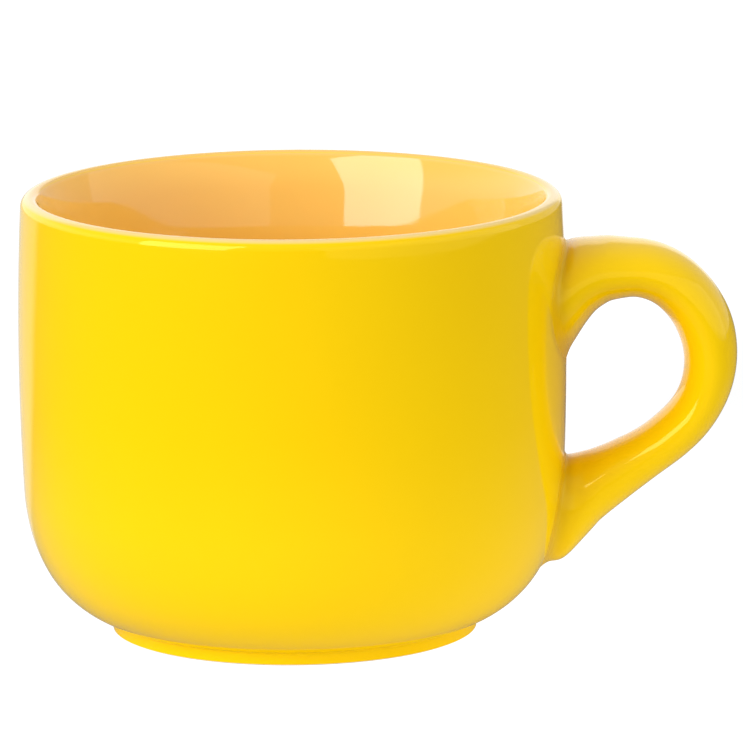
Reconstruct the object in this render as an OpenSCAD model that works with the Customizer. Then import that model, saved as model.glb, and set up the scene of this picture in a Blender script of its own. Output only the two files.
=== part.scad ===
// Soup mug: a wide stoneware mug with a cast loop handle, luted on with slip and glazed.
// Millimetres, +Z up. The foot stands on z = 0, Z is the mug's axis, the handle points to +X.
// All the outside sizes are over the glaze.

/* [Wall] */
// height from the table to the top of the lip
mug_h = 91.7; // [91:0.1:93]
// radius at the belly, where the wall is widest
belly_r = 57; // [56:0.5:58]
// height of the belly above the table
belly_z = 59.7; // [59:0.1:61]
// radius of the wall's slight barrel curve
wall_bow = 586; // [500:1:700]
// radius over the top of the lip
lip_r = 1.5; // [1.3:0.1:1.8]
// radius that rounds the outside of the wall into the lip
lip_round = 6.5; // [5:0.5:8]

/* [Heel] */
// radius of the upper heel curve, below the wall
heel_r1 = 43.2; // [42:0.1:45]
// radius of the middle heel curve
heel_r2 = 31.8; // [31:0.1:33]
// radius of the lower heel curve, down to the foot
heel_r3 = 23; // [22.5:0.1:23.3]

/* [Foot] */
// outside radius of the foot ring
foot_r = 38; // [37.5:0.1:38.5]
// radius of the groove where the foot ring meets the heel
groove_r = 0.5; // [0.4:0.1:1]
// inside radius of the foot ring
recess_r = 32.6; // [31:0.1:33.5]
// depth of the recess under the floor
recess_h = 2.2; // [1.8:0.1:2.6]
// height to which the glaze is wiped off the foot ring
wiped_h = 0.3; // [0.3:0.1:0.8]

/* [Inside] */
// slope of the inside just below the lip, from the vertical
lip_taper = 28; // [26:0.5:30]
// radius of the curve just below the lip
lip_curve = 24; // [20:0.5:26]
// slope of the inside where the wall thins towards the lip
wall_taper = 11; // [9:0.5:12]
// depth below the top of the lip at which the wall has its full thickness
thin_h = 14.8; // [13:0.1:17]
// radius of the curve at the bottom of that taper
shoulder_r = 30; // [20:1:40]
// draft of the inside wall, from the vertical
draft = 1.2; // [0.6:0.1:1.6]
// height of the inside floor above the table
floor_z = 9; // [8.5:0.1:10]
// radius between the inside wall and the floor
bowl_r = 20; // [18:0.5:21]

/* [Handle] */
// radius of the loop's centre line
loop_r = 20.3; // [20:0.1:20.7]
// distance of the loop's centre from the mug's axis
loop_x = 66.7; // [66.3:0.1:67]
// height of the loop's centre
loop_z = 56.7; // [56.4:0.1:57]
// radius of the tighter bend at the crown
crown_r = 15; // [14.5:0.1:15.5]
// radius of the slack bend along the lower arm
arm_r = 42; // [40:1:44]
// thickness of the grip at the crown
crown_t = 11.8; // [11.5:0.1:12.1]
// thickness of the grip along the lower arm
arm_t = 10.1; // [9.8:0.1:10.5]
// width of the grip at the crown
crown_w = 25; // [24:0.1:26]
// width of the grip along the lower arm
arm_w = 16.5; // [15.5:0.1:17.5]

/* [Glaze] */
// thickness of the glaze
glaze_t = 0.4; // [0.3:0.05:0.5]
// reach of the glaze that runs out onto the wall round each root
fillet_w = 1.8; // [1.4:0.1:2.2]

/* [Hidden] */
$fn = 96;

clay_color = [0.86, 0.82, 0.75];
slip_color = [0.80, 0.76, 0.69];
yellow_color = [0.98, 0.78, 0.02];
lining_color = [0.97, 0.68, 0.30];

// normals of the outside, in degrees below the horizontal, where its curves join
heel_a1 = 2.9;
heel_a2 = 15.3;
heel_a3 = 30.2;
// slope of the outside where the rounding meets the top of the lip
nose_a = 32;
// angle on the lip where the outer coat ends and the lining begins
lip_join = 140;
// rounding of the foot ring's edges and of the recess's corner
foot_edge = 0.3;
recess_fillet = 1.4;
// how far the luting slip stays inside a root's edge
seat_edge = 0.8;

function polar(c, r, a) = [c[0] + r * cos(a), c[1] + r * sin(a)];
// points of an arc after its start, so that arcs join without doubled points
function arc(c, r, a0, a1, n) = [for (i = [1:n]) polar(c, r, a0 + (a1 - a0) * i / n)];
function reversed(list) = [for (i = [len(list) - 1:-1:0]) list[i]];

// centres of the outside's curves, each tangent to the one above
wall_c = [belly_r - wall_bow, belly_z];
heel_c1 = polar(wall_c, wall_bow - heel_r1, -heel_a1);
heel_c2 = polar(heel_c1, heel_r1 - heel_r2, -heel_a2);
heel_c3 = polar(heel_c2, heel_r2 - heel_r3, -heel_a3);
groove_run = foot_r + groove_r - heel_c3[0];
groove_drop = sqrt(pow(heel_r3 + groove_r, 2) - pow(groove_run, 2));
groove_c = [foot_r + groove_r, heel_c3[1] - groove_drop];
groove_a = atan2(groove_drop, groove_run);
lip_rise = mug_h - lip_r - belly_z - (lip_round - lip_r) * sin(nose_a);
round_a = asin(lip_rise / (wall_bow - lip_round));
round_c = polar(wall_c, wall_bow - lip_round, round_a);
lip_c = polar(round_c, lip_round - lip_r, nose_a);

// centres of the inside's curves
mouth_c = polar(lip_c, lip_r - lip_curve, 180 - lip_taper);
taper_top = polar(mouth_c, lip_curve, 180 - wall_taper);
taper_run = (taper_top[1] - mug_h + thin_h) / cos(wall_taper);
shoulder_c = polar(polar(taper_top, taper_run, 270 - wall_taper), -shoulder_r, 180 - wall_taper);
shoulder_end = polar(shoulder_c, shoulder_r, 180 - draft);
straight = (shoulder_end[1] + bowl_r * sin(draft) - floor_z - bowl_r) / cos(draft);
bowl_c = polar(polar(shoulder_end, straight, 270 - draft), bowl_r, 180 - draft);
recess_c = [recess_r - recess_fillet, recess_h - recess_fillet];

// outside from the groove up over the lip, at a depth d below the glaze's surface
function side_line(d) = concat(
    [[foot_r - d, groove_c[1]]],
    arc(groove_c, groove_r + d, 180, 180 - groove_a, 6),
    arc(heel_c3, heel_r3 - d, -groove_a, -heel_a3, 10),
    arc(heel_c2, heel_r2 - d, -heel_a3, -heel_a2, 5),
    arc(heel_c1, heel_r1 - d, -heel_a2, -heel_a1, 5),
    arc(wall_c, wall_bow - d, -heel_a1, round_a, 9),
    arc(round_c, lip_round - d, round_a, nose_a, 5),
    arc(lip_c, lip_r - d, nose_a, lip_join, 9));
// inside from the lip down to the middle of the floor
function bowl_line(d) = concat(
    arc(lip_c, lip_r - d, lip_join, 180 - lip_taper, 3),
    arc(mouth_c, lip_curve - d, 180 - lip_taper, 180 - wall_taper, 4),
    [polar(shoulder_c, shoulder_r - d, 180 - wall_taper)],
    arc(shoulder_c, shoulder_r - d, 180 - wall_taper, 180 - draft, 3),
    [polar(bowl_c, bowl_r + d, -draft)],
    arc(bowl_c, bowl_r + d, -draft, -90, 12),
    [[0, floor_z - d]]);
// recess from the middle of the base out to the foot ring
function recess_line(d) = concat(
    [[0, recess_h + d]],
    [[recess_c[0], recess_h + d]],
    arc(recess_c, recess_fillet + d, 90, 0, 5));

// radius of the glazed outside at a height z
function wall_r(z) =
    z > belly_z - wall_bow * sin(heel_a1) ? on_arc(wall_c, wall_bow, z) :
    z > heel_c1[1] - heel_r1 * sin(heel_a2) ? on_arc(heel_c1, heel_r1, z) :
    z > heel_c2[1] - heel_r2 * sin(heel_a3) ? on_arc(heel_c2, heel_r2, z) :
    on_arc(heel_c3, heel_r3, z);
function on_arc(c, r, z) = c[0] + sqrt(r * r - pow(z - c[1], 2));

// moulded roots: stand-off from the wall, lower edge, upper edge, half width
upper_root = [
    [0, 58.2, 80.8, 17.6],
    [0.9, 59.6, 81.2, 16.5],
    [2.4, 61.7, 81.6, 16.0],
    [4.2, 64.5, 81.8, 15.4],
    [6.5, 67.3, 81.9, 14.6],
    [9.5, 69.2, 82.1, 13.6]];
lower_root = [
    [9, 22.8, 38.3, 9.4],
    [6.2, 18.1, 37.2, 10.0],
    [4, 14.1, 36.6, 10.4],
    [1.5, 13.5, 36.0, 10.7],
    [0, 12.9, 35.6, 11.4]];

// the loop's bends: the crown, the round of the loop, the slack lower arm
crown_a = 50;
slack_a = -45;
arm_a = -58;
// the grip has its full thickness above the first angle, and thins down to the second
full_a = 20;
thin_a = -30;
crown_c = polar([loop_x, loop_z], loop_r - crown_r, crown_a);
slack_c = polar([loop_x, loop_z], loop_r - arm_r, slack_a);
// sides of the handle's oval sections, steps between two sections
sides = 32;
steps = 3;

function across(i) = cos(360 * i / sides);
function along(i) = sin(360 * i / sides);

// section of a root on the surface that stands off s from the wall; way is 1 or -1, up or down
function root_ring(root, way, d, s) = [for (i = [0:sides - 1])
    let (z = (root[1] + root[2]) / 2 + way * ((root[2] - root[1]) / 2 - d) * across(i),
        y = (root[3] - d) * along(i))
    [sqrt(pow(wall_r(z) + s, 2) - y * y), y, z]];
// section of the grip square to the loop at a normal angle a
function grip_ring(c, r, a, d) =
    let (k = (90 - a) / (90 - arm_a), middle = polar(c, r, a),
        half_t = lookup(a, [[thin_a, arm_t], [full_a, crown_t]]) / 2 - d,
        half_w = (crown_w + (arm_w - crown_w) * k) / 2 - d)
    [for (i = [0:sides - 1])
        let (p = polar(middle, half_t * across(i), a)) [p[0], half_w * along(i), p[1]]];

// main sections from the upper root to the lower, d below the glaze, the ends lifted off the wall
function main_rings(d, lift) = concat(
    [for (root = upper_root) root_ring(root, 1, d, max(root[0], lift))],
    [for (a = [90, 70]) grip_ring(crown_c, crown_r, a, d)],
    [for (a = [crown_a, 26, 2, -22]) grip_ring([loop_x, loop_z], loop_r, a, d)],
    [for (a = [slack_a, arm_a]) grip_ring(slack_c, arm_r, a, d)],
    [for (root = lower_root) root_ring(root, -1, d, max(root[0], lift))]);
// sections between the main ones, on a curve through them
function between(p, q, r, s, t) = (2 * q + (r - p) * t + (2 * p - 5 * q + 4 * r - s) * t * t
    + (3 * q - p - 3 * r + s) * t * t * t) / 2;
function smooth(rings) = let (last = len(rings) - 1) concat(
    [for (j = [0:last - 1], k = [0:steps - 1])
        between(rings[max(j - 1, 0)], rings[j], rings[j + 1], rings[min(j + 2, last)], k / steps)],
    [rings[last]]);

// a root's end, shrunk towards its middle and laid on the wall
function end_ring(root, way, share) = let (middle = (root[1] + root[2]) / 2)
    root_ring([0, middle + (root[1] - middle) * share, middle + (root[2] - middle) * share,
        root[3] * share], way, glaze_t * share, 0);
// a root's edge, grown over the wall by the run of the glaze
function run_ring(root, way) =
    root_ring([0, root[1] - fillet_w, root[2] + fillet_w, root[3] + fillet_w], way, 0, 0);

upper_end = upper_root[0];
lower_end = lower_root[len(lower_root) - 1];

// triangles between ring j and ring k, outward when the rings run on
function band(j, k) = [for (i = [0:sides - 1])
    let (n = (i + 1) % sides)
    each [[j * sides + i, j * sides + n, k * sides + n], [j * sides + i, k * sides + n, k * sides + i]]];
// triangles that close ring j on one point
function fan(j, tip, flip) = [for (i = [0:sides - 1])
    let (n = (i + 1) % sides)
    flip ? [tip, j * sides + i, j * sides + n] : [tip, j * sides + n, j * sides + i]];
function flat(rings) = [for (ring = rings) each ring];
function tip(root) = let (z = (root[1] + root[2]) / 2) [wall_r(z), 0, z];

module body() {
    color(clay_color)
        rotate_extrude()
            polygon(concat(
                [[recess_r + glaze_t + foot_edge, 0], [foot_r - glaze_t - foot_edge, 0],
                    [foot_r - glaze_t, foot_edge]],
                side_line(glaze_t), bowl_line(glaze_t), recess_line(glaze_t),
                [[recess_r + glaze_t, foot_edge]]));
}

module handle() {
    rings = concat(
        [for (share = [0.34, 0.67]) end_ring(upper_end, 1, share)],
        smooth(main_rings(glaze_t, 0)),
        [for (share = [0.67, 0.34]) end_ring(lower_end, -1, share)]);
    count = len(rings);
    color(clay_color)
        polyhedron(
            points = concat(flat(rings), [tip(upper_end), tip(lower_end)]),
            faces = concat([for (j = [0:count - 2]) each band(j, j + 1)],
                fan(0, count * sides, false), fan(count - 1, count * sides + 1, true)));
}

module handle_glaze() {
    outside = concat([run_ring(upper_end, 1)], smooth(main_rings(0, fillet_w / 3)),
        [run_ring(lower_end, -1)]);
    rings = concat(outside, reversed(smooth(main_rings(glaze_t, 0))));
    count = len(rings);
    color(yellow_color)
        polyhedron(
            points = flat(rings),
            faces = [for (j = [0:count - 1]) each band(j, (j + 1) % count)]);
}

// oval prism towards +X over a root's seat, a little inside the root's edge
module seat(root) {
    translate([0, 0, (root[1] + root[2]) / 2])
        rotate([90, 0, 90])
            linear_extrude(height = belly_r + loop_r)
                scale([root[3] - seat_edge, (root[2] - root[1]) / 2 - seat_edge])
                    circle(r = 1);
}

module coat() {
    rotate_extrude()
        polygon(concat(
            [[foot_r, wiped_h]], side_line(0),
            reversed(concat([[foot_r - glaze_t, wiped_h]], side_line(glaze_t)))));
}

module outer_glaze() {
    color(yellow_color)
        difference() {
            coat();
            seat(upper_end);
            seat(lower_end);
        }
}

module upper_slip() {
    color(slip_color)
        intersection() {
            coat();
            seat(upper_end);
        }
}

module lower_slip() {
    color(slip_color)
        intersection() {
            coat();
            seat(lower_end);
        }
}

module lining_glaze() {
    color(lining_color)
        rotate_extrude()
            polygon(concat(
                [polar(lip_c, lip_r, lip_join)], bowl_line(0),
                reversed(concat([polar(lip_c, lip_r - glaze_t, lip_join)], bowl_line(glaze_t)))));
}

module base_glaze() {
    color(yellow_color)
        rotate_extrude()
            polygon(concat(
                recess_line(0), [[recess_r, wiped_h]],
                reversed(concat(recess_line(glaze_t), [[recess_r + glaze_t, wiped_h]]))));
}

body();
handle();
upper_slip();
lower_slip();
outer_glaze();
lining_glaze();
handle_glaze();
base_glaze();
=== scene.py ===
import math

import bpy
from mathutils import Matrix, Vector


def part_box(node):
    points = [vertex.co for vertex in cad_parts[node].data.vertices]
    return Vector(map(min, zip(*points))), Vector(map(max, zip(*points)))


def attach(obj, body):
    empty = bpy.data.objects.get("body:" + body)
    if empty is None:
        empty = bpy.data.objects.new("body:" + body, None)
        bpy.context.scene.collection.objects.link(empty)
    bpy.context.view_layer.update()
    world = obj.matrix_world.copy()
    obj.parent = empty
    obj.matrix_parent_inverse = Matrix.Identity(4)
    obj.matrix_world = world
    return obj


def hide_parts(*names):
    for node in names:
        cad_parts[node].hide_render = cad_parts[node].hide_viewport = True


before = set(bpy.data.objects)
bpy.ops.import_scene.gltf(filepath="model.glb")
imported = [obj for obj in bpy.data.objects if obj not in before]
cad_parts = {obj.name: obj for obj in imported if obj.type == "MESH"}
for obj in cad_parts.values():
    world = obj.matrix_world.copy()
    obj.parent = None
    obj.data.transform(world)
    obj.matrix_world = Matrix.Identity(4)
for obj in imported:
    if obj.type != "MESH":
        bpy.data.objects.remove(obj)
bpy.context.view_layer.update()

# Clay body
# The bowl is jiggered from pale stoneware clay, wall, floor and foot ring in one piece.
# Glaze covers it all but the face of the foot ring, which is wiped bare before firing.
CLAY = (0.74, 0.66, 0.54, 1.0)
CLAY_SPECK = (0.42, 0.31, 0.20, 1.0)


def shader_node(tree, kind, inputs=None, **settings):
    made = tree.nodes.new(kind)
    for key, value in settings.items():
        setattr(made, key, value)
    for key, value in (inputs or {}).items():
        if isinstance(value, bpy.types.NodeSocket):
            tree.links.new(value, made.inputs[key])
        else:
            made.inputs[key].default_value = value
    return made


def shader_group(name, inputs, outputs):
    tree = bpy.data.node_groups.new(name, "ShaderNodeTree")
    for label, kind in inputs:
        tree.interface.new_socket(label, in_out="INPUT", socket_type=kind)
    for label, kind in outputs:
        tree.interface.new_socket(label, in_out="OUTPUT", socket_type=kind)
    return tree, tree.nodes.new("NodeGroupInput").outputs, tree.nodes.new("NodeGroupOutput").inputs


def new_material(name):
    material = bpy.data.materials.new(name)
    material.use_nodes = True
    tree = material.node_tree
    shader = tree.nodes["Principled BSDF"]
    place = shader_node(tree, "ShaderNodeTexCoord").outputs["Object"]
    return material, tree, shader, place


# Grain of fired clay: coarse and fine tone, iron specks, a sandy surface.
clay_grain, grain_in, grain_out = shader_group(
    "clay_grain",
    [("Place", "NodeSocketVector"), ("Clay", "NodeSocketColor"), ("Speck", "NodeSocketColor")],
    [("Color", "NodeSocketColor"), ("Roughness", "NodeSocketFloat"), ("Height", "NodeSocketFloat")])
tone = shader_node(clay_grain, "ShaderNodeTexNoise",
                   {"Vector": grain_in["Place"], "Scale": 90.0, "Detail": 4.0})
sand = shader_node(clay_grain, "ShaderNodeTexNoise",
                   {"Vector": grain_in["Place"], "Scale": 1600.0, "Detail": 2.0})
specks = shader_node(clay_grain, "ShaderNodeTexVoronoi",
                     {"Vector": grain_in["Place"], "Scale": 420.0})
speck_mask = shader_node(clay_grain, "ShaderNodeMapRange",
                         {"Value": specks.outputs["Distance"], "From Min": 0.10, "From Max": 0.22,
                          "To Min": 0.75, "To Max": 0.0})
darker = shader_node(clay_grain, "ShaderNodeMixRGB",
                     {"Fac": 0.22, "Color1": grain_in["Clay"], "Color2": tone.outputs["Color"]},
                     blend_type="SOFT_LIGHT")
speckled = shader_node(clay_grain, "ShaderNodeMixRGB",
                       {"Fac": speck_mask.outputs["Result"], "Color1": darker.outputs["Color"],
                        "Color2": grain_in["Speck"]})
dry = shader_node(clay_grain, "ShaderNodeMapRange",
                  {"Value": tone.outputs["Fac"], "To Min": 0.72, "To Max": 0.9})
clay_grain.links.new(speckled.outputs["Color"], grain_out["Color"])
clay_grain.links.new(dry.outputs["Result"], grain_out["Roughness"])
clay_grain.links.new(sand.outputs["Fac"], grain_out["Height"])


def clay_material(name, clay, speck):
    material, tree, shader, place = new_material(name)
    grain = shader_node(tree, "ShaderNodeGroup", node_tree=clay_grain)
    tree.links.new(place, grain.inputs["Place"])
    grain.inputs["Clay"].default_value = clay
    grain.inputs["Speck"].default_value = speck
    sandy = shader_node(tree, "ShaderNodeBump",
                        {"Height": grain.outputs["Height"], "Strength": 0.5, "Distance": 0.0001})
    tree.links.new(grain.outputs["Color"], shader.inputs["Base Color"])
    tree.links.new(grain.outputs["Roughness"], shader.inputs["Roughness"])
    tree.links.new(sandy.outputs["Normal"], shader.inputs["Normal"])
    return material


def dress(node, material):
    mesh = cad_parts[node].data
    mesh.materials.clear()
    mesh.materials.append(material)


bare_clay = clay_material("bare_clay", CLAY, CLAY_SPECK)
dress("body", bare_clay)

# Clay handle and its luting slip
# The handle is cast on its own in the same clay, coped to the wall at both roots.
# Two pads of wet slip lute it to the bowl before the glaze goes on over all of it.
SLIP = (0.66, 0.58, 0.47, 1.0)
SLIP_SPECK = (0.48, 0.38, 0.27, 1.0)
luting_slip = clay_material("luting_slip", SLIP, SLIP_SPECK)
dress("handle", bare_clay)
dress("upper_slip", luting_slip)
dress("lower_slip", luting_slip)

# Glaze in the base recess
# A disc of the yellow glaze is left inside the foot ring, an island of its own,
# because the ring's standing face is sponged clean.
GLAZE_T = 0.0004
GLAZE_IOR = 1.57
TURNS = 192
WELD = 0.000005
SHARP_A = 40
RECESS_FILLET = 0.0014
YELLOW = (0.98, 0.635, 0.002, 1.0)
YELLOW_DEEP = (0.96, 0.585, 0.001, 1.0)
YELLOW_THIN = (0.91, 0.66, 0.25, 1.0)
YELLOW_SHEEN = (1.0, 0.90, 0.28, 1.0)
# darker colour in the root creases: partly glaze that pools there, partly painted shade
YELLOW_POOL_AND_SHADE = (0.78, 0.46, 0.0008, 1.0)
LIP_INNER = (0.93, 0.58, 0.155, 1.0)
PINHOLE = (0.45, 0.27, 0.05, 1.0)
# radius of the lip's middle line, and how far off it the yellow gives way to the inner colour
LIP_MIDDLE = 0.0545
LIP_BREAK = (0.0002, -0.0006)
# depths below the top of the lip between which the yellow breaks thin
YELLOW_BREAK = (0.0008, 0.0002)
BELLY_Z = 0.0597
WALL_BOW = 0.586
# height below which the wall turns in to the foot, and the mean radius of that turn
HEEL_TOP, HEEL_MEAN_R = 0.030, 0.036
# middle height, half height and half width of the rim of each root on the wall
ROOT_RIMS = ((0.06945, 0.01335, 0.0196), (0.02425, 0.01325, 0.0133))
# shares of a rim's size, and distances from the wall, between which its painted crease shade fades
# out
CREASE_RIM = (0.90, 1.10)
CREASE_IN, CREASE_OUT = 0.0, 0.0034
CREASE_ROUGH = 0.25


def polar(centre, radius, angle):
    turn = math.radians(angle)
    return centre[0] + radius * math.cos(turn), centre[1] + radius * math.sin(turn)


def arc(centre, radius, start, end, count):
    """Points of an arc after its start, so that arcs join without doubled points."""
    return [polar(centre, radius, start + (end - start) * k / count) for k in range(1, count + 1)]


def select_none():
    if bpy.context.object and bpy.context.object.mode != "OBJECT":
        bpy.ops.object.mode_set(mode="OBJECT")
    bpy.ops.object.select_all(action="DESELECT")


def thrown(name, outline):
    """Draws an outline of (radius, height) points and turns it round the mug's axis."""
    select_none()
    bpy.ops.mesh.primitive_plane_add(size=0.001, location=(outline[0][0], 0, outline[0][1]))
    piece = bpy.context.object
    piece.name = piece.data.name = name
    bpy.ops.object.transform_apply(location=True, rotation=True, scale=True)
    bpy.ops.object.mode_set(mode="EDIT")
    bpy.ops.mesh.merge(type="CENTER")
    for here, there in zip(outline, outline[1:]):
        step = (there[0] - here[0], 0, there[1] - here[1])
        bpy.ops.mesh.extrude_region_move(TRANSFORM_OT_translate={"value": step})
    bpy.ops.mesh.select_all(action="SELECT")
    bpy.ops.mesh.spin(steps=TURNS, angle=2 * math.pi, center=(0, 0, 0), axis=(0, 0, 1))
    bpy.ops.mesh.select_all(action="SELECT")
    bpy.ops.mesh.remove_doubles(threshold=WELD)
    bpy.ops.object.mode_set(mode="OBJECT")
    return piece


def coat(piece, outward):
    """Gives a glazed surface its thickness inwards; outward is a point that it faces."""
    bpy.ops.object.mode_set(mode="EDIT")
    bpy.ops.mesh.select_all(action="SELECT")
    bpy.ops.mesh.normals_make_consistent(inside=False)
    bpy.ops.object.mode_set(mode="OBJECT")
    nearest = min(piece.data.polygons, key=lambda face: (face.center - outward).length)
    if nearest.normal.dot(outward - nearest.center) < 0:
        bpy.ops.object.mode_set(mode="EDIT")
        bpy.ops.mesh.select_all(action="SELECT")
        bpy.ops.mesh.flip_normals()
        bpy.ops.object.mode_set(mode="OBJECT")
    skin = piece.modifiers.new("coat", "SOLIDIFY")
    skin.thickness = GLAZE_T
    skin.offset = -1
    bpy.ops.object.modifier_apply(modifier=skin.name)
    bpy.ops.object.shade_smooth_by_angle(angle=math.radians(SHARP_A))


# Glaze: tone that drifts with the coat's thickness, thin spots, pinholes, a wavy skin, and a darker
# colour in the root creases that is partly pooled glaze and partly painted shade.
glaze_coat, coat_in, coat_out = shader_group(
    "glaze_coat",
    [("Place", "NodeSocketVector"), ("Full", "NodeSocketColor"), ("Deep", "NodeSocketColor"),
     ("Thin", "NodeSocketColor"), ("Thinness", "NodeSocketFloat"),
     ("Pool and Shade", "NodeSocketColor"), ("Crease", "NodeSocketFloat")],
    [("Color", "NodeSocketColor"), ("Roughness", "NodeSocketFloat"), ("Height", "NodeSocketFloat")])
drift = shader_node(glaze_coat, "ShaderNodeTexNoise",
                    {"Vector": coat_in["Place"], "Scale": 28.0, "Detail": 3.0, "Roughness": 0.5})
drift_mask = shader_node(glaze_coat, "ShaderNodeMapRange",
                         {"Value": drift.outputs["Fac"], "From Min": 0.35, "From Max": 0.75,
                          "To Min": 0.0, "To Max": 0.3})
toned = shader_node(glaze_coat, "ShaderNodeMixRGB",
                    {"Fac": drift_mask.outputs["Result"], "Color1": coat_in["Full"],
                     "Color2": coat_in["Deep"]})
thinned = shader_node(glaze_coat, "ShaderNodeMixRGB",
                      {"Fac": coat_in["Thinness"], "Color1": toned.outputs["Color"],
                       "Color2": coat_in["Thin"]})
pinholes = shader_node(glaze_coat, "ShaderNodeTexVoronoi",
                       {"Vector": coat_in["Place"], "Scale": 110.0})
pin_mask = shader_node(glaze_coat, "ShaderNodeMapRange",
                       {"Value": pinholes.outputs["Distance"], "From Min": 0.018, "From Max": 0.03,
                        "To Min": 1.0, "To Max": 0.0})
pin_pick = shader_node(glaze_coat, "ShaderNodeSeparateColor", {"Color": pinholes.outputs["Color"]})
pin_rare = shader_node(glaze_coat, "ShaderNodeMath",
                       {0: pin_pick.outputs["Red"], 1: 0.93}, operation="GREATER_THAN")
pin_spot = shader_node(glaze_coat, "ShaderNodeMath",
                       {0: pin_mask.outputs["Result"], 1: pin_rare.outputs["Value"]},
                       operation="MULTIPLY")
pin_tone = shader_node(glaze_coat, "ShaderNodeMath",
                       {0: pin_spot.outputs["Value"], 1: 0.5}, operation="MULTIPLY")
pinned = shader_node(glaze_coat, "ShaderNodeMixRGB",
                     {"Fac": pin_tone.outputs["Value"], "Color1": thinned.outputs["Color"],
                      "Color2": PINHOLE})
# painted shade in the root creases, mixed with the darker colour of pooled glaze
pool_and_shade = shader_node(glaze_coat, "ShaderNodeMixRGB",
                     {"Fac": coat_in["Crease"], "Color1": pinned.outputs["Color"],
                      "Color2": coat_in["Pool and Shade"]})
gloss = shader_node(glaze_coat, "ShaderNodeMapRange",
                    {"Value": drift.outputs["Fac"], "From Min": 0.3, "From Max": 0.7,
                     "To Min": 0.045, "To Max": 0.075})
crease_gloss = shader_node(glaze_coat, "ShaderNodeMath",
                           {0: coat_in["Crease"], 1: CREASE_ROUGH, 2: gloss.outputs["Result"]},
                           operation="MULTIPLY_ADD")
waves = shader_node(glaze_coat, "ShaderNodeTexNoise",
                    {"Vector": coat_in["Place"], "Scale": 75.0, "Detail": 1.0})
peel = shader_node(glaze_coat, "ShaderNodeTexNoise",
                   {"Vector": coat_in["Place"], "Scale": 520.0, "Detail": 1.0})
skin_height = shader_node(glaze_coat, "ShaderNodeMath",
                          {0: peel.outputs["Fac"], 1: 0.05, 2: waves.outputs["Fac"]},
                          operation="MULTIPLY_ADD")
pitted = shader_node(glaze_coat, "ShaderNodeMath",
                     {0: skin_height.outputs["Value"], 1: pin_spot.outputs["Value"]},
                     operation="SUBTRACT")
glaze_coat.links.new(pool_and_shade.outputs["Color"], coat_out["Color"])
glaze_coat.links.new(crease_gloss.outputs["Value"], coat_out["Roughness"])
glaze_coat.links.new(pitted.outputs["Value"], coat_out["Height"])


def sums(tree, operation, one, two):
    return shader_node(tree, "ShaderNodeMath", {0: one, 1: two}, operation=operation).outputs["Value"]


def eases(tree, value, start, end):
    """0 at the start and 1 at the end, with no corner at either."""
    return shader_node(tree, "ShaderNodeMapRange",
                       {"Value": value, "From Min": start, "From Max": end},
                       interpolation_type="SMOOTHSTEP").outputs["Result"]


def from_axis(tree, spot):
    flat = shader_node(tree, "ShaderNodeCombineXYZ", {"X": spot["X"], "Y": spot["Y"]})
    return shader_node(tree, "ShaderNodeVectorMath", {0: flat.outputs["Vector"]},
                       operation="LENGTH").outputs["Value"]


def root_crease(tree, spot):
    """1 in the creases where the handle's roots meet the wall, where the glaze pools and shade is
    painted in, else 0.
    """
    bow = sums(tree, "POWER", sums(tree, "SUBTRACT", spot["Z"], BELLY_Z), 2)
    below = sums(tree, "MAXIMUM", sums(tree, "SUBTRACT", HEEL_TOP, spot["Z"]), 0)
    heel = sums(tree, "POWER", below, 2)
    inward = sums(tree, "ADD", sums(tree, "DIVIDE", bow, 2 * WALL_BOW),
                  sums(tree, "DIVIDE", heel, 2 * HEEL_MEAN_R))
    stand_off = sums(tree, "ADD", sums(tree, "SUBTRACT", from_axis(tree, spot), belly_r), inward)
    near = sums(tree, "MULTIPLY", eases(tree, stand_off, CREASE_OUT, CREASE_IN),
                sums(tree, "GREATER_THAN", spot["X"], 0))
    rim = 0
    for middle, half_h, half_w in ROOT_RIMS:
        up = sums(tree, "DIVIDE", sums(tree, "SUBTRACT", spot["Z"], middle), half_h)
        across = sums(tree, "DIVIDE", spot["Y"], half_w)
        squared = sums(tree, "ADD", sums(tree, "POWER", up, 2), sums(tree, "POWER", across, 2))
        away = sums(tree, "SQRT", squared, 0)
        rim = sums(tree, "MAXIMUM", rim, eases(tree, away, CREASE_RIM[1], CREASE_RIM[0]))
    return sums(tree, "MULTIPLY", near, rim)


def glaze_material(name, full, deep, thin, thin_band, sheen, pool_and_shade=None):
    """A glaze that breaks thin and pale between two depths below the top of the lip."""
    material, tree, shader, place = new_material(name)
    spot = shader_node(tree, "ShaderNodeSeparateXYZ", {"Vector": place}).outputs
    inner = eases(tree, from_axis(tree, spot), LIP_MIDDLE + LIP_BREAK[0], LIP_MIDDLE + LIP_BREAK[1])
    lip = shader_node(tree, "ShaderNodeMixRGB", {"Fac": inner, "Color1": thin, "Color2": LIP_INNER})
    fired = shader_node(tree, "ShaderNodeGroup", node_tree=glaze_coat)
    tree.links.new(place, fired.inputs["Place"])
    fired.inputs["Full"].default_value = full
    fired.inputs["Deep"].default_value = deep
    tree.links.new(lip.outputs["Color"], fired.inputs["Thin"])
    thinness = eases(tree, spot["Z"], lip_top - thin_band[0], lip_top - thin_band[1])
    tree.links.new(thinness, fired.inputs["Thinness"])
    # only the yellow gets the crease colour: pooled glaze darkened further as painted shade
    if pool_and_shade:
        fired.inputs["Pool and Shade"].default_value = pool_and_shade
        tree.links.new(root_crease(tree, spot), fired.inputs["Crease"])
    wavy = shader_node(tree, "ShaderNodeBump",
                       {"Height": fired.outputs["Height"], "Strength": 0.25, "Distance": 0.0002})
    tree.links.new(fired.outputs["Color"], shader.inputs["Base Color"])
    tree.links.new(fired.outputs["Roughness"], shader.inputs["Roughness"])
    tree.links.new(wavy.outputs["Normal"], shader.inputs["Normal"])
    shader.inputs["IOR"].default_value = GLAZE_IOR
    shader.inputs["Specular Tint"].default_value = sheen
    return material


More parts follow.
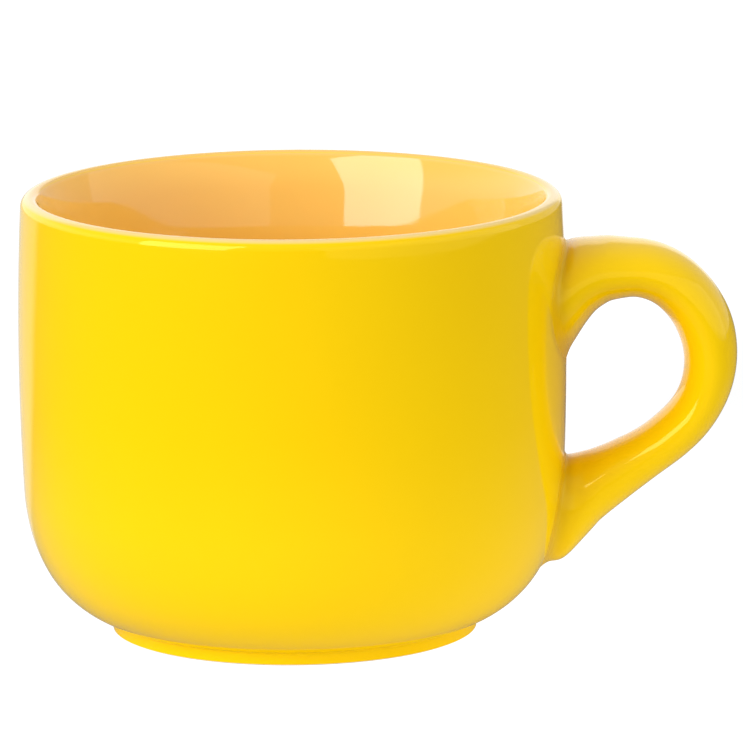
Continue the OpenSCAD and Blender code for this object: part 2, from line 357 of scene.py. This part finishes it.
wall_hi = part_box("outer_glaze")[1]
belly_r, lip_top = wall_hi.x, wall_hi.z
yellow_glaze = glaze_material("yellow_glaze", YELLOW, YELLOW_DEEP, YELLOW_THIN, YELLOW_BREAK,
                              YELLOW_SHEEN, YELLOW_POOL_AND_SHADE)

recess_lo, recess_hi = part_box("base_glaze")
recess_r = recess_hi.x - GLAZE_T
recess_z = recess_hi.z - GLAZE_T
recess_corner = (recess_r - RECESS_FILLET, recess_z - RECESS_FILLET)
base_glaze = thrown("base_recess_glaze", [(0, recess_z), (recess_r * 0.5, recess_z),
                                          (recess_corner[0], recess_z)]
                    + arc(recess_corner, RECESS_FILLET, 90, 0, 8) + [(recess_r, recess_lo.z)])
coat(base_glaze, Vector((0, 0, -0.1)))
base_glaze.data.materials.append(yellow_glaze)
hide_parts("base_glaze")
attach(base_glaze, "root")

# Lining glaze
# A warmer, paler apricot glaze is poured in and out of the bowl, so it coats the floor
# and the inside wall up to the inner edge of the lip.
LIP_JOIN = 140
# the solid's lip: the wall is rounded off up to an angle, and a tighter nose goes over the top
LIP_ROUND, NOSE_A, LIP_R = 0.0065, 32, 0.0015
LIP_TAPER, LIP_CURVE = 28, 0.024
WALL_TAPER, THIN_H = 11, 0.0148
SHOULDER_R = 0.030
DRAFT = 1.2
BOWL_R = 0.020
APRICOT = (0.94, 0.55, 0.095, 1.0)
APRICOT_DEEP = (0.92, 0.485, 0.066, 1.0)
APRICOT_THIN = LIP_INNER
APRICOT_BREAK = (0.0013, 0.0004)
CLEAR_SHEEN = (1.0, 1.0, 1.0, 1.0)


def slope(start, length, angle, count):
    """Points of a straight run down and inwards, at an angle from the vertical."""
    return [polar(start, length * k / count, 270 - angle) for k in range(1, count + 1)]


wall_c = (belly_r - WALL_BOW, BELLY_Z)
lip_rise = lip_top - LIP_R - BELLY_Z - (LIP_ROUND - LIP_R) * math.sin(math.radians(NOSE_A))
round_a = math.degrees(math.asin(lip_rise / (WALL_BOW - LIP_ROUND)))
round_c = polar(wall_c, WALL_BOW - LIP_ROUND, round_a)
lip_c = polar(round_c, LIP_ROUND - LIP_R, NOSE_A)
mouth_c = polar(lip_c, LIP_R - LIP_CURVE, 180 - LIP_TAPER)
taper_top = polar(mouth_c, LIP_CURVE, 180 - WALL_TAPER)
taper_run = (taper_top[1] - lip_top + THIN_H) / math.cos(math.radians(WALL_TAPER))
taper = slope(taper_top, taper_run, WALL_TAPER, 8)
shoulder_c = polar(taper[-1], -SHOULDER_R, 180 - WALL_TAPER)
shoulder_end = polar(shoulder_c, SHOULDER_R, 180 - DRAFT)
floor_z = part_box("lining_glaze")[0].z + GLAZE_T
straight = shoulder_end[1] + BOWL_R * math.sin(math.radians(DRAFT)) - floor_z - BOWL_R
side = slope(shoulder_end, straight / math.cos(math.radians(DRAFT)), DRAFT, 12)
bowl_c = polar(side[-1], BOWL_R, 180 - DRAFT)
bowl_outline = [polar(lip_c, LIP_R, LIP_JOIN)]
bowl_outline += arc(lip_c, LIP_R, LIP_JOIN, 180 - LIP_TAPER, 4)
bowl_outline += arc(mouth_c, LIP_CURVE, 180 - LIP_TAPER, 180 - WALL_TAPER, 12)
bowl_outline += taper + arc(shoulder_c, SHOULDER_R, 180 - WALL_TAPER, 180 - DRAFT, 8) + side
bowl_outline += arc(bowl_c, BOWL_R, -DRAFT, -90, 24)
bowl_outline += [(bowl_c[0] * share, floor_z) for share in (0.75, 0.5, 0.25, 0)]

apricot_glaze = glaze_material("apricot_glaze", APRICOT, APRICOT_DEEP, APRICOT_THIN, APRICOT_BREAK,
                               CLEAR_SHEEN)
lining = thrown("bowl_lining_glaze", bowl_outline)
coat(lining, Vector((0, 0, 0.1)))
lining.data.materials.append(apricot_glaze)
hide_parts("lining_glaze")
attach(lining, "root")

# Outer glaze
# The mug is dipped foot up in a glossy yellow glaze, which runs from the wiped foot,
# through the groove above it and up the wall, and breaks thin and pale over the lip.
HEEL_R = (0.0432, 0.0318, 0.0230)
HEEL_A = (2.9, 15.3, 30.2)
FOOT_R = 0.0380
GROOVE_R = 0.0005

heel_c1 = polar(wall_c, WALL_BOW - HEEL_R[0], -HEEL_A[0])
heel_c2 = polar(heel_c1, HEEL_R[0] - HEEL_R[1], -HEEL_A[1])
heel_c3 = polar(heel_c2, HEEL_R[1] - HEEL_R[2], -HEEL_A[2])
groove_run = FOOT_R + GROOVE_R - heel_c3[0]
groove_drop = math.sqrt((HEEL_R[2] + GROOVE_R) ** 2 - groove_run ** 2)
groove_c = (FOOT_R + GROOVE_R, heel_c3[1] - groove_drop)
groove_a = math.degrees(math.atan2(groove_drop, groove_run))
wiped_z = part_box("outer_glaze")[0].z
# one tight arc, tangent to the wall and to the top of the lip
lip_run, lip_h = lip_c[0] - wall_c[0], lip_top - BELLY_Z
edge_r = (WALL_BOW ** 2 - lip_run ** 2 - lip_h ** 2) / (2 * (WALL_BOW - lip_h))
edge_c = (lip_c[0], lip_top - edge_r)
edge_a = math.degrees(math.atan2(edge_c[1] - wall_c[1], lip_run))
side_outline = [(FOOT_R, wiped_z), (FOOT_R, (wiped_z + groove_c[1]) / 2), (FOOT_R, groove_c[1])]
side_outline += arc(groove_c, GROOVE_R, 180, 180 - groove_a, 6)
side_outline += arc(heel_c3, HEEL_R[2], -groove_a, -HEEL_A[2], 20)
side_outline += arc(heel_c2, HEEL_R[1], -HEEL_A[2], -HEEL_A[1], 9)
side_outline += arc(heel_c1, HEEL_R[0], -HEEL_A[1], -HEEL_A[0], 9)
side_outline += arc(wall_c, WALL_BOW, -HEEL_A[0], edge_a, 26)
side_outline += arc(edge_c, edge_r, edge_a, 90, 14)
side_outline += arc(lip_c, LIP_R, 90, LIP_JOIN, 8)

wall_glaze = thrown("wall_glaze", side_outline)
coat(wall_glaze, Vector((0, -0.3, BELLY_Z)))
wall_glaze.data.materials.append(yellow_glaze)
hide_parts("outer_glaze")
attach(wall_glaze, "root")

# Handle glaze
# The yellow coat runs on over the strap handle, wide at the crown and narrower down the arm.
# Where a root meets the wall, the glaze fills the crease with a soft fillet.
SIDES = 24
STEPS = 3
SMOOTHING = 2
PRESS_FROM = 0.12
LOOP_R, LOOP_X, LOOP_Z = 0.0203, 0.0667, 0.0567
CROWN_R, ARM_R = 0.015, 0.042
# turns round the loop: end of the crown's bend, start and end of the arm's, ends of the thinning
CROWN_A, SLACK_A, ARM_A = 50, -45, -58
FULL_A, THIN_A = 20, -30
GRIP_STEP = 8
ARM_TURNS = (SLACK_A, -49, -53, ARM_A)
CROWN_T, ARM_T = 0.0118, 0.0101
CROWN_W, ARM_W = 0.0250, 0.0165
# stand-off from the wall, lower edge, upper edge, half width of each moulded root section
UPPER_ROOT = ((-0.0003, 0.0561, 0.0828, 0.0196), (0.0001, 0.0571, 0.0819, 0.0187),
              (0.0005, 0.0583, 0.0812, 0.0176), (0.0011, 0.0596, 0.0812, 0.0167),
              (0.0024, 0.0617, 0.0816, 0.0160), (0.0042, 0.0645, 0.0818, 0.0154),
              (0.0065, 0.0673, 0.0819, 0.0146), (0.0095, 0.0692, 0.0821, 0.0136))
LOWER_ROOT = ((-0.0003, 0.0110, 0.0375, 0.0133), (0.0001, 0.0119, 0.0367, 0.0124),
              (0.0005, 0.0127, 0.0360, 0.0115), (0.0015, 0.0135, 0.0360, 0.0108),
              (0.0040, 0.0141, 0.0366, 0.0104), (0.0062, 0.0181, 0.0372, 0.0100),
              (0.0090, 0.0228, 0.0383, 0.0094))
# a subdivided ring settles inside its corners, so each is drawn larger by this much
SETTLE = 3 / (2 + math.cos(2 * math.pi / SIDES))


def section(middle, turn, half_t, half_w):
    """A closed ring across the handle: half_t in the loop's plane, half_w across it."""
    select_none()
    bpy.ops.mesh.primitive_circle_add(vertices=SIDES, radius=1, rotation=(0, math.pi / 2, 0))
    ring = bpy.context.object
    bpy.ops.object.transform_apply(location=False, rotation=True, scale=False)
    ring.scale = (1, half_w * SETTLE, half_t * SETTLE)
    ring.rotation_euler = (0, math.radians(90 - turn), 0)
    ring.location = (middle[0], 0, middle[1])
    bpy.ops.object.transform_apply(location=True, rotation=True, scale=True)
    return ring


def root_section(root, turn):
    """A ring pressed onto the wall, or onto the surface that stands off from it."""
    stand_off, low, high, half_w = root
    ring = section((PRESS_FROM, (low + high) / 2), turn, (high - low) / 2, half_w)
    press = ring.modifiers.new("press", "SHRINKWRAP")
    press.target = wall_glaze
    press.wrap_method = "PROJECT"
    press.use_project_x, press.use_project_y, press.use_project_z = True, False, False
    press.use_negative_direction, press.use_positive_direction = True, False
    press.cull_face = "BACK"
    press.offset = stand_off
    bpy.ops.object.modifier_apply(modifier=press.name)
    return ring


def eased(rows):
    """The rows of a root with more between them, on a curve through them."""
    full = []
    for k in range(len(rows) - 1):
        four = (rows[max(k - 1, 0)], rows[k], rows[k + 1], rows[min(k + 2, len(rows) - 1)])
        for t in (step / STEPS for step in range(STEPS)):
            full.append([(2 * q + (r - p) * t + (2 * p - 5 * q + 4 * r - s) * t * t
                          + (3 * q - p - 3 * r + s) * t ** 3) / 2 for p, q, r, s in zip(*four)])
    return full + [rows[-1]]


def grip_section(centre, radius, turn):
    """A ring on one of the loop's arcs, narrower and thinner the further down it is."""
    down = (90 - turn) / (90 - ARM_A)
    thinned = min(max((FULL_A - turn) / (FULL_A - THIN_A), 0), 1)
    return section(polar(centre, radius, turn), turn,
                   (CROWN_T + (ARM_T - CROWN_T) * thinned) / 2,
                   (CROWN_W + (ARM_W - CROWN_W) * down) / 2)


loop_c = (LOOP_X, LOOP_Z)
crown_c = polar(loop_c, LOOP_R - CROWN_R, CROWN_A)
slack_c = polar(loop_c, LOOP_R - ARM_R, SLACK_A)
rings = [root_section(root, 90) for root in eased(UPPER_ROOT)]
rings += [grip_section(crown_c, CROWN_R, turn) for turn in range(90, CROWN_A, -GRIP_STEP)]
rings += [grip_section(loop_c, LOOP_R, turn) for turn in range(CROWN_A, SLACK_A, -GRIP_STEP)]
rings += [grip_section(slack_c, ARM_R, turn) for turn in ARM_TURNS]
rings += [root_section(root, -90) for root in reversed(eased(LOWER_ROOT))]

select_none()
for ring in rings:
    ring.select_set(True)
bpy.context.view_layer.objects.active = rings[0]
bpy.ops.object.join()
handle_glaze = bpy.context.object
handle_glaze.name = handle_glaze.data.name = "handle_glaze_coat"
bpy.ops.object.mode_set(mode="EDIT")
bpy.ops.mesh.select_mode(type="VERT")
for k in range(len(rings) - 1):
    bpy.ops.mesh.select_all(action="DESELECT")
    bpy.ops.object.mode_set(mode="OBJECT")
    for vertex in handle_glaze.data.vertices[k * SIDES:(k + 2) * SIDES]:
        vertex.select = True
    bpy.ops.object.mode_set(mode="EDIT")
    bpy.ops.mesh.bridge_edge_loops()
bpy.ops.object.mode_set(mode="OBJECT")
smooth = handle_glaze.modifiers.new("smooth", "SUBSURF")
smooth.levels = smooth.render_levels = SMOOTHING
bpy.ops.object.modifier_apply(modifier=smooth.name)
coat(handle_glaze, Vector((0.2, 0, LOOP_Z)))
handle_glaze.data.materials.append(yellow_glaze)
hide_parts("handle_glaze")
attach(handle_glaze, "root")

# Studio
# The mug stands on a white light table that glows round it, most at the right, so that it throws
# almost no shadow. A white backdrop is behind it, a softbox at the left and a card at the right.
# Reflections show the glow and the right side dimmer, as a polarising filter would.
FLOOR_SIZE = 12
FLOOR_DROP = 0.0002
# the table's colour is painted lighter in a pool round the mug than further off, a painted pool of
# light, and is also lighter toward the white backdrop
TABLE_WHITE, ROUND_WHITE = 0.37, 0.12
GLOW_LEFT, GLOW_RIGHT = 0.36, 0.74
GLOW_ACROSS = (-0.06, 0.08)
POOL_R, POOL_FADE = 0.08, 0.20
BACK_WAY = (-0.2756, 0.9613, 0)
# cosines of the angle from BACK_WAY at which the backdrop begins and is full, on table and wall
BACK_ON_TABLE, BACK_ON_WALL = (0.80, 0.88), (0.78, 0.87)
FLOOR_SEEN = 1.15
SEEN_SHARE, GLOSS_SHARE = 0.85, 0.05
select_none()
bpy.ops.mesh.primitive_plane_add(size=FLOOR_SIZE, location=(0, 0, -FLOOR_DROP))
floor = bpy.context.object
floor.name = "light_table"
paper, paper_tree, paper_shader, paper_place = new_material("white_acrylic")


def behind_mug(tree, way, edge, full):
    """1 toward the white backdrop, which is behind the mug and a little to its left."""
    unit = shader_node(tree, "ShaderNodeVectorMath", {0: way}, operation="NORMALIZE")
    share = shader_node(tree, "ShaderNodeVectorMath", {0: unit.outputs["Vector"], 1: BACK_WAY},
                        operation="DOT_PRODUCT")
    return eases(tree, share.outputs["Value"], edge, full)


def goes_over(tree, value, start, end, level, full):
    """Light that goes over from one level to another between two places or directions."""
    return shader_node(tree, "ShaderNodeMapRange",
                       {"Value": value, "From Min": start, "From Max": end, "To Min": level,
                        "To Max": full}, interpolation_type="SMOOTHSTEP").outputs["Result"]


reach = shader_node(paper_tree, "ShaderNodeVectorMath", {0: paper_place}, operation="LENGTH")
pool = eases(paper_tree, reach.outputs["Value"], POOL_R + POOL_FADE, POOL_R)
backdrop = behind_mug(paper_tree, paper_place, *BACK_ON_TABLE)
on_table = sums(paper_tree, "MAXIMUM", pool, backdrop)
# painted pool of light: the floor is lighter round the mug, and lighter toward the backdrop as well
table_tone = shader_node(paper_tree, "ShaderNodeMixRGB",
                         {"Fac": on_table, "Color1": (ROUND_WHITE, ROUND_WHITE, ROUND_WHITE, 1),
                          "Color2": (TABLE_WHITE, TABLE_WHITE, TABLE_WHITE, 1)})
across = shader_node(paper_tree, "ShaderNodeSeparateXYZ", {"Vector": paper_place}).outputs["X"]
ray = shader_node(paper_tree, "ShaderNodeLightPath").outputs
matt_pool = sums(paper_tree, "MULTIPLY", pool,
                 sums(paper_tree, "SUBTRACT", 1.0, ray["Is Glossy Ray"]))
table_glow = sums(paper_tree, "MULTIPLY", sums(paper_tree, "MAXIMUM", matt_pool, backdrop),
                  goes_over(paper_tree, across, *GLOW_ACROSS, GLOW_LEFT, GLOW_RIGHT))
paper_tree.links.new(table_tone.outputs["Color"], paper_shader.inputs["Base Color"])
paper_tree.links.new(table_glow, paper_shader.inputs["Emission Color"])
paper_shader.inputs["Emission Strength"].default_value = 1.0
paper_shader.inputs["Roughness"].default_value = 0.9
paper_shader.inputs["Specular IOR Level"].default_value = 0.0
# the plain white is shown to the camera and through glass, and a little to a gloss
clear = sums(paper_tree, "MAXIMUM", ray["Is Camera Ray"], ray["Is Transmission Ray"])
seen = sums(paper_tree, "MAXIMUM", sums(paper_tree, "MULTIPLY", clear, SEEN_SHARE),
            sums(paper_tree, "MULTIPLY", ray["Is Glossy Ray"], GLOSS_SHARE))
white = shader_node(paper_tree, "ShaderNodeEmission", {"Strength": FLOOR_SEEN})
lit = shader_node(paper_tree, "ShaderNodeMixShader",
                  {"Fac": seen, 1: paper_shader.outputs["BSDF"], 2: white.outputs["Emission"]})
paper_tree.links.new(lit.outputs["Shader"], paper_tree.nodes["Material Output"].inputs["Surface"])
floor.data.materials.append(paper)

ROOM_FRONT, ROOM_RIGHT, RIGHT_GLARE = 0.42, 1.72, 0.62
ROOM_LEFT_LOW, ROOM_LEFT = 0.90, 1.50
ROOM_TOP, ROOM_BACK = 0.54, 1.30
# parts of a unit heading between which the room goes over from one level to the next
LEFT_RISE, TOP_RISE = (0, 0.35), (0.15, 0.60)
LEFT_TO_RIGHT, FRONT_TO_SIDES = (-0.7, 0.5), (-0.9, -0.3)
world = bpy.data.worlds.new("studio_room")
bpy.context.scene.world = world
world.use_nodes = True
room = world.node_tree
sky = room.nodes["Background"]
heading = shader_node(room, "ShaderNodeTexCoord").outputs["Generated"]
way = shader_node(room, "ShaderNodeSeparateXYZ", {"Vector": heading}).outputs
ray = shader_node(room, "ShaderNodeLightPath").outputs
left = goes_over(room, way["Z"], *LEFT_RISE, ROOM_LEFT_LOW, ROOM_LEFT)
right = goes_over(room, ray["Is Glossy Ray"], 0, 1, ROOM_RIGHT, RIGHT_GLARE)
sides = goes_over(room, way["X"], *LEFT_TO_RIGHT, left, right)
sides = goes_over(room, way["Y"], *FRONT_TO_SIDES, ROOM_FRONT, sides)
ceiling = goes_over(room, way["Z"], *TOP_RISE, sides, ROOM_TOP)
level = goes_over(room, behind_mug(room, heading, *BACK_ON_WALL), 0, 1, ceiling, ROOM_BACK)
clear = sums(room, "MAXIMUM", ray["Is Camera Ray"], ray["Is Transmission Ray"])
sky.inputs["Color"].default_value = (1, 1, 1, 1)
room.links.new(sums(room, "MAXIMUM", level, clear), sky.inputs["Strength"])


def softbox(name, bearing, height, distance, size, radiance):
    """A flat lamp that faces the mug; bearing and height in degrees, bearing from the camera's."""
    turn, tilt = math.radians(bearing), math.radians(height)
    lamp = bpy.data.lights.new(name, "AREA")
    lamp.shape = "RECTANGLE"
    lamp.size, lamp.size_y = size
    lamp.energy = radiance * math.pi * size[0] * size[1]
    held = bpy.data.objects.new(name, lamp)
    bpy.context.collection.objects.link(held)
    way = Vector((math.sin(turn) * math.cos(tilt), -math.cos(turn) * math.cos(tilt), math.sin(tilt)))
    held.location = distance * way + Vector((0, 0, lip_top))
    held.rotation_euler = (-way).to_track_quat("-Z", "Y").to_euler()
    held.visible_camera = False


softbox("key_softbox", bearing=-46, height=22, distance=2.5, size=(1.85, 2.12), radiance=4.5)
softbox("fill_card", bearing=62, height=16, distance=0.9, size=(2.1, 0.8), radiance=0.55)

# Camera
# A long lens a little above the lip, square to the handle, as in the photograph.
# Its aim, distance, pitch and roll were fitted to the outline of the mug there.
CAMERA_AIM = Vector((0.01638, 0, 0.05392))
CAMERA_DISTANCE = 1.700
CAMERA_PITCH = 11.18
CAMERA_ROLL = -0.39
FOCAL_PIXELS = 8166
FRAME_PIXELS = 743
SENSOR_MM = 36
lens = bpy.data.cameras.new("photo_camera")
lens.sensor_fit = "HORIZONTAL"
lens.sensor_width = SENSOR_MM
lens.lens = lens.sensor_width * FOCAL_PIXELS / FRAME_PIXELS
lens.clip_start, lens.clip_end = 0.05, 50
camera = bpy.data.objects.new("photo_camera", lens)
bpy.context.collection.objects.link(camera)
pitch = math.radians(CAMERA_PITCH)
camera.location = CAMERA_AIM - CAMERA_DISTANCE * Vector((0, math.cos(pitch), -math.sin(pitch)))
camera.rotation_euler = (Matrix.Rotation(math.pi / 2 - pitch, 3, "X")
                         @ Matrix.Rotation(math.radians(CAMERA_ROLL), 3, "Z")).to_euler()
bpy.context.scene.camera = camera
bpy.context.scene.view_settings.view_transform = "Standard"
